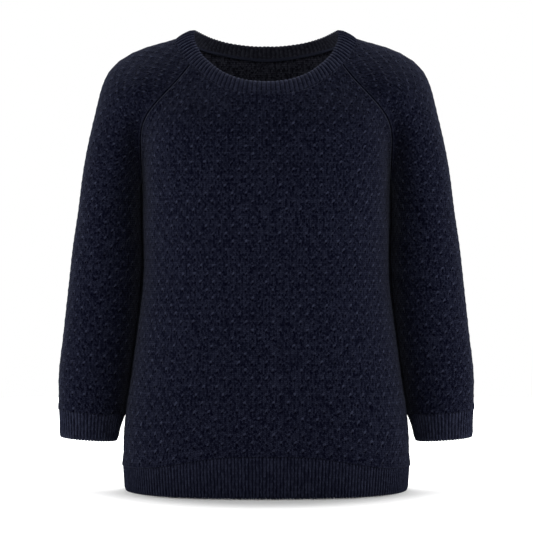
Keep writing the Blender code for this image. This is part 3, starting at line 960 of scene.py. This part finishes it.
def rib_finish(name, painted_light_scale):
    """The finish of a band. Its yarn's lightness is scaled by painted_light_scale: painted light on the
    cuffs and painted shade on the hem and neckband, as light falls on each.
    """
    finish = Finish(name)
    across, up = finish.knit_place()
    stitches, chance = finish.stitches(across, up)
    crest = 1 - finish.maths("ABSOLUTE", finish.maths("FRACT", across) - 0.5) * 2
    fuzz = finish.noise(FUZZ_SCALE, 2)
    mottle = finish.noise(MOTTLE_SCALE, 3)
    # Painted light on the crests of the ribs and on the proud legs of the stitches, and painted shade in
    # the valleys between the ribs
    light = (0.35 + 0.65 * finish.ramp(crest, 0.05, 0.60)) * (0.22 + 0.26 * stitches)
    light = light * (0.5 + 1.0 * chance) * (0.8 + 0.4 * mottle) + 0.16 * (fuzz - 0.5)
    finish.colour(light * painted_light_scale, (0.08 + 0.20 * crest) * (0.5 + 1.0 * chance))
    finish.bump(STITCH_BUMP * stitches + CREST_BUMP * crest + FUZZ_BUMP * fuzz)
    return finish.material


def rib_seam(line, ribs, closed):
    """Points and outward directions along a seam, RIB_COLUMNS to a rib, and how many ribs along."""
    length = distances(line[:, :3])[-1]
    count = ribs * RIB_COLUMNS
    if closed:
        places = np.linspace(0, length, count + 1)[:-1]
    else:
        places = np.linspace(SEAM_GAP / 2, length - SEAM_GAP / 2, count + 1)
    along = points_along(line, places, line[:, :3])
    return along[:, :3], unit(along[:, 3:]), places / length * ribs


def rib_band(name, lines, outward, rib_places, material, closed=False):
    """A rib band as a thin wall. lines and outward are its rows from the seam to the free edge."""
    crest = np.abs(np.sin(np.pi * rib_places)) ** RIB_ROUNDNESS
    valley = np.abs(np.cos(np.pi * rib_places))
    thin = np.ones((len(lines), 1))
    thin[-2:, 0] = EDGE_THINNING
    raised = RIB_RAISE * crest * thin - RIB_WALL / 2 * (1 - thin)
    outer = lines + outward * raised[..., None]
    inner = lines - outward * (RIB_WALL * (1 + thin) / 2 + INNER_RAISE * valley)[..., None]
    towards_edge = unit(lines[-1] - lines[-2])
    outer[-1] += towards_edge * SCALLOP * crest[:, None]
    inner[-1] += towards_edge * SCALLOP * crest[:, None]
    down = np.array([0, *np.cumsum(np.linalg.norm(np.diff(lines, axis=0), axis=2).mean(axis=1))])
    across = np.append(rib_places, rib_places[0] + round(rib_places[-1])) if closed else rib_places
    knit = np.stack(np.meshgrid(across, -down / RIB_STITCH), axis=2)
    piece = thin_wall(name, outer, inner, knit, {}, material, closed)
    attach(piece, "root")
    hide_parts(name)
    return piece


# The hem
# Two ribs, one under each panel, that meet at the side seams.

# The hem and the neckband below are darkened with painted shade, and the cuffs lightened with painted
# light
hem_knit = rib_finish("hem_rib_navy", painted_light_scale=0.90)


def hem_rib(name, panel_name, from_degrees):
    seam, outward, rib_places = rib_seam(panel_grid(panel_name)[-1], HEM_RIBS, closed=False)
    foot_line = torso_section(HEM_FOOT, from_degrees, from_degrees + 180, blousing=False)
    ends = (SEAM_GAP / 2, distances(foot_line)[-1] - SEAM_GAP / 2)
    foot = points_along(foot_line, np.linspace(*ends, len(seam)))
    down = np.linspace(0, 1, HEM_ROWS)[:, None, None]
    start = seam + unit(foot - seam) * SEAM_GAP / 2
    level = unit(outward * (1, 1, 0))
    facing = unit(outward + (level - outward) * down)
    return rib_band(name, start + (foot - start) * down, facing, rib_places, hem_knit)


hem_rib_front = hem_rib("hem_rib_front", "front", -90)
hem_rib_back = hem_rib("hem_rib_back", "back", 90)


# The cuffs
# A rib tube at the foot of each sleeve, drawn in a little at its middle.

CUFF_WAIST = 0.0006
cuff_knit = rib_finish("cuff_rib_navy", painted_light_scale=1.2)


def outward_of(points, centre):
    """Level directions from a middle line through each point of a ring, square to the ring."""
    along = np.roll(points, -1, axis=0) - np.roll(points, 1, axis=0)
    direction = np.cross(along, (0, 0, 1))
    sign = np.sign(np.sum(direction * (points - centre), axis=1))
    return unit(direction * sign[:, None])


def cuff(name, sleeve, side):
    foot_row = panel_grid(sleeve)[-1]
    seam, outward, rib_places = rib_seam(foot_row if side > 0 else foot_row[::-1], CUFF_RIBS, closed=True)
    foot = even_points(sleeve_section(CUFF_FOOT) * (side, 1, 1), len(seam))[:-1]
    level = outward_of(foot, foot.mean(axis=0))
    down = np.linspace(0, 1, CUFF_ROWS)[:, None, None]
    start = seam + unit(foot - seam) * SEAM_GAP / 2
    lines = start + (foot - start) * down - level * CUFF_WAIST * 4 * down * (1 - down)
    facing = unit(outward + (level - outward) * down)
    return rib_band(name, lines, facing, rib_places, cuff_knit, closed=True)


cuff_left = cuff("cuff_left", "sleeve_left", 1)
cuff_right = cuff("cuff_right", "sleeve_right", -1)


# The neckband
# A rib band linked to the neckline all round. It stands on the seam and leans inwards.

NECKBAND_CROWN = 0.0016


def neck_line():
    """Points and outward directions of the neck seam, from centre front by the wearer's left."""
    rows = [panel_grid(name)[0] for name in ("front", "sleeve_left", "back", "sleeve_right")]
    rows = [row[~np.isnan(row[:, 0])] for row in rows]
    front_half = len(rows[0]) // 2
    line = np.concatenate([row[:-1] for row in rows])
    line = np.roll(line, -front_half, axis=0)
    return np.vstack([line, line[:1]])


def neckband_rows():
    """The neckband's rows of points and outward directions, and how many ribs along each lies."""
    line = neck_line()
    seam, outward, rib_places = rib_seam(line, NECK_RIBS, closed=True)
    corners = np.cumsum([0, FRONT_CELLS, SLEEVE_CELLS, SLEEVE_CELLS, BACK_CELLS]) * SKIN_STEPS
    along = distances(line[:, :3])
    half = along[-1] / 2
    from_front = half - np.abs(rib_places / NECK_RIBS * along[-1] - half)
    row = np.interp(from_front, along[corners], NECK_CORNERS)
    inwards, upwards = smooth_rows(NECK, row / NECK_CORNERS[-1]).T[3:, :, None]
    level = outward_of(seam, seam.mean(axis=0))
    rise = upwards * np.array([0, 0, 1]) - inwards * level
    across = unit(np.cross(np.roll(seam, -1, axis=0) - np.roll(seam, 1, axis=0), rise))
    across = across * np.sign(np.sum(across * level, axis=1))[:, None]
    up = np.linspace(0, 1, NECKBAND_ROWS)[:, None, None]
    start = seam + unit(rise) * SEAM_GAP / 2
    lines = start + (seam + rise - start) * up + across * NECKBAND_CROWN * 4 * up * (1 - up)
    turn = np.clip(up * 2, 0, 1)
    return lines, unit(outward + (across - outward) * turn), rib_places


neck_rows, neck_outward, neck_rib_places = neckband_rows()
neck_knit = rib_finish("neck_rib_navy", painted_light_scale=0.92)
neckband = rib_band("neckband", neck_rows, neck_outward, neck_rib_places, neck_knit, closed=True)


# The linking inside the neck
# The neckband is linked to the panels stitch by stitch, which leaves a smooth ridge of flat
# links on the inside, just above the seam.

# Sizes of a link, longer than its spacing so that the links run together, and the row of the
# neckband that they lie on
LINK_SPACING = 0.0030
LINK_LENGTH = 0.0056
LINK_DEPTH = 0.0022
LINK_HEIGHT = 0.0080
LINK_ROW = 1
LINK_NAVY = (0.0180, 0.0200, 0.0320)


def linking_finish():
    finish = Finish("linking_navy")
    fuzz = finish.noise(FUZZ_SCALE, 2)
    finish.put(finish.shader.inputs["Base Color"], finish.mixed(DEEP_INSIDE, LINK_NAVY, 0.4 + 0.8 * fuzz))
    return finish.material


def links_tree():
    """Flat rounded links set end to end along a curve."""
    tree = bpy.data.node_groups.new("links along a seam", "GeometryNodeTree")
    face = tree.interface
    kinds = {name: "Float" for name in ("Spacing", "Length", "Depth", "Height")} | {"Material": "Material"}
    face.new_socket("Seam", in_out="INPUT", socket_type="NodeSocketGeometry")
    for name, kind in kinds.items():
        face.new_socket(name, in_out="INPUT", socket_type="NodeSocket" + kind)
    face.new_socket("Links", in_out="OUTPUT", socket_type="NodeSocketGeometry")

    def node(kind, sockets, **settings):
        made = tree.nodes.new(kind)
        for name, value in settings.items():
            setattr(made, name, value)
        for name, value in sockets.items():
            if isinstance(value, bpy.types.NodeSocket):
                tree.links.new(value, made.inputs[name])
            else:
                made.inputs[name].default_value = value
        return made

    given = tree.nodes.new("NodeGroupInput").outputs
    sockets = {"Curve": given["Seam"], "Length": given["Spacing"]}
    places = node("GeometryNodeCurveToPoints", sockets, mode="LENGTH").outputs
    ball = node("GeometryNodeMeshUVSphere", {"Segments": 8, "Rings": 6, "Radius": 0.5})
    size = {"X": given["Depth"], "Y": given["Height"], "Z": given["Length"]}
    size = node("ShaderNodeCombineXYZ", size)
    link = node("GeometryNodeTransform", {"Geometry": ball.outputs["Mesh"], "Scale": size.outputs[0]})
    sockets = {"Points": places["Points"], "Instance": link.outputs[0], "Rotation": places["Rotation"]}
    laid = node("GeometryNodeInstanceOnPoints", sockets)
    real = node("GeometryNodeRealizeInstances", {"Geometry": laid.outputs[0]})
    sockets = {"Geometry": real.outputs[0], "Material": given["Material"]}
    finished = node("GeometryNodeSetMaterial", sockets)
    node("NodeGroupOutput", {"Links": finished.outputs[0]})
    return tree


def chain_along(name, points, lean, tree, values):
    """A closed chain of links along a line of points, as a plain mesh. lean tilts the links."""
    curve = bpy.data.curves.new(name, "CURVE")
    curve.dimensions = "3D"
    curve.twist_mode = "Z_UP"
    spline = curve.splines.new("POLY")
    spline.points.add(len(points) - 1)
    spline.points.foreach_set("co", np.hstack([points, np.ones((len(points), 1))]).ravel())
    spline.points.foreach_set("tilt", lean)
    spline.use_cyclic_u = True
    carrier = bpy.data.objects.new(name + "_seam", curve)
    bpy.context.scene.collection.objects.link(carrier)
    modifier = carrier.modifiers.new("links", "NODES")
    modifier.node_group = tree
    for item in tree.interface.items_tree:
        if item.in_out == "INPUT" and item.name in values:
            modifier[item.identifier] = values[item.name]
    made = carrier.evaluated_get(bpy.context.evaluated_depsgraph_get())
    mesh = bpy.data.meshes.new_from_object(made)
    bpy.data.objects.remove(carrier)
    piece = bpy.data.objects.new(name, mesh)
    mesh.shade_smooth()
    bpy.context.scene.collection.objects.link(piece)
    return piece


link_values = {
    "Spacing": LINK_SPACING,
    "Length": LINK_LENGTH,
    "Depth": LINK_DEPTH,
    "Height": LINK_HEIGHT,
    "Material": linking_finish(),
}
inside_band = neck_rows[LINK_ROW] - neck_outward[LINK_ROW] * (RIB_WALL + INNER_RAISE)
rise = neck_rows[LINK_ROW + 1] - neck_rows[LINK_ROW]
lean = np.arctan2(np.hypot(rise[:, 0], rise[:, 1]), rise[:, 2])
neck_linking = chain_along("neck_linking", inside_band, lean, links_tree(), link_values)
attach(neck_linking, "root")


# The studio
# A pale floor just below the hem, and soft white light from all round.

FLOOR_HEIGHT = -0.5850
CAMERA_DISTANCE = 2.6
PICTURE_MIDDLE = (0.0003, -0.2945)
PICTURE_WIDTH = 533 * 0.0013
SENSOR_WIDTH = 36
FLOOR_RADIUS = 1.9
FLOOR_SIDES = 96
FLOOR_WHITE = 0.66
SKY = 0.1

# The floor glows with painted light that washes out the shadows on it, but not under the hem: the glow
# starts and is full at these sizes of an oval with these half axes
FLOOR_GLOW = 0.7
GLOW_OVAL = (0.165, 0.172)
GLOW_STARTS = (0.80, 1.50)

# Soft boxes that face the middle of the sweater. Columns: degrees round from the front towards
# +X, degrees up, width, height, power in watts. Each stands BOX_DISTANCE away.
SOFT_BOXES = {
    "front_left": (60, 8, 1.6, 1.6, 33),
    "front_right": (-60, 8, 1.6, 1.6, 33),
    "beside_left": (90, 3, 1.6, 1.6, 42),
    "beside_right": (-90, 3, 1.6, 1.6, 42),
    "high_behind": (180, 60, 2.4, 2.0, 125),
    "in_front": (0, 10, 2.0, 2.0, 14),
}
BOX_DISTANCE = 2.2


def floor_material():
    finish = Finish("pale_floor")
    place = finish.node("ShaderNodeTexCoord", "Object", {}, {})
    sides = [finish.node("ShaderNodeSeparateXYZ", axis, {}, {0: place}) for axis in (0, 1)]
    x, y = (side * (1 / half) for side, half in zip(sides, GLOW_OVAL))
    glow = finish.ramp(finish.maths("SQRT", x * x + y * y), *GLOW_STARTS)
    inputs = finish.shader.inputs
    # The floor's painted light: a glow everywhere but near the hem, where the shadow stays
    finish.put(inputs["Emission Color"], finish.mixed((0, 0, 0), (1, 1, 1), glow))
    inputs["Emission Strength"].default_value = FLOOR_GLOW
    inputs["Base Color"].default_value = (FLOOR_WHITE, FLOOR_WHITE, FLOOR_WHITE, 1)
    inputs["Sheen Weight"].default_value = 0
    return finish.material


bpy.ops.mesh.primitive_circle_add(vertices=FLOOR_SIDES, radius=FLOOR_RADIUS, fill_type="NGON")
floor = bpy.context.object
floor.name = "floor"
floor.location.z = FLOOR_HEIGHT
floor.data.materials.append(floor_material())

for name, (degrees, up, width, height, power) in SOFT_BOXES.items():
    light = bpy.data.lights.new(name, "AREA")
    light.shape = "RECTANGLE"
    light.size, light.size_y = width, height
    light.energy = power
    box = bpy.data.objects.new(name, light)
    turn, lift = np.radians([degrees, up])
    away = Vector((np.sin(turn) * np.cos(lift), -np.cos(turn) * np.cos(lift), np.sin(lift)))
    box.location = away * BOX_DISTANCE + Vector((0, 0, PICTURE_MIDDLE[1]))
    box.rotation_euler = away.to_track_quat("Z", "Y").to_euler()
    box.visible_camera = False
    bpy.context.scene.collection.objects.link(box)

# The sky lights the sweater with strength SKY, and the camera sees it as plain white
world = bpy.data.worlds.new("studio")
world.use_nodes = True
sky_nodes = world.node_tree.nodes
sky = sky_nodes["Background"]
sky.inputs["Strength"].default_value = SKY
white = sky_nodes.new("ShaderNodeBackground")
seen = sky_nodes.new("ShaderNodeLightPath")
either = sky_nodes.new("ShaderNodeMixShader")
world.node_tree.links.new(seen.outputs["Is Camera Ray"], either.inputs[0])
world.node_tree.links.new(sky.outputs[0], either.inputs[1])
world.node_tree.links.new(white.outputs[0], either.inputs[2])
world.node_tree.links.new(either.outputs[0], sky_nodes["World Output"].inputs["Surface"])
for shade in (sky, white):
    shade.inputs["Color"].default_value = (1, 1, 1, 1)
bpy.context.scene.world = world
bpy.context.scene.view_settings.view_transform = "Standard"

camera = bpy.data.objects.new("camera", bpy.data.cameras.new("camera"))
camera.location = (PICTURE_MIDDLE[0], -CAMERA_DISTANCE, PICTURE_MIDDLE[1])
camera.rotation_euler = (np.pi / 2, 0, 0)
camera.data.sensor_width = SENSOR_WIDTH
camera.data.lens = SENSOR_WIDTH * CAMERA_DISTANCE / PICTURE_WIDTH
bpy.context.scene.collection.objects.link(camera)
bpy.context.scene.camera = camera
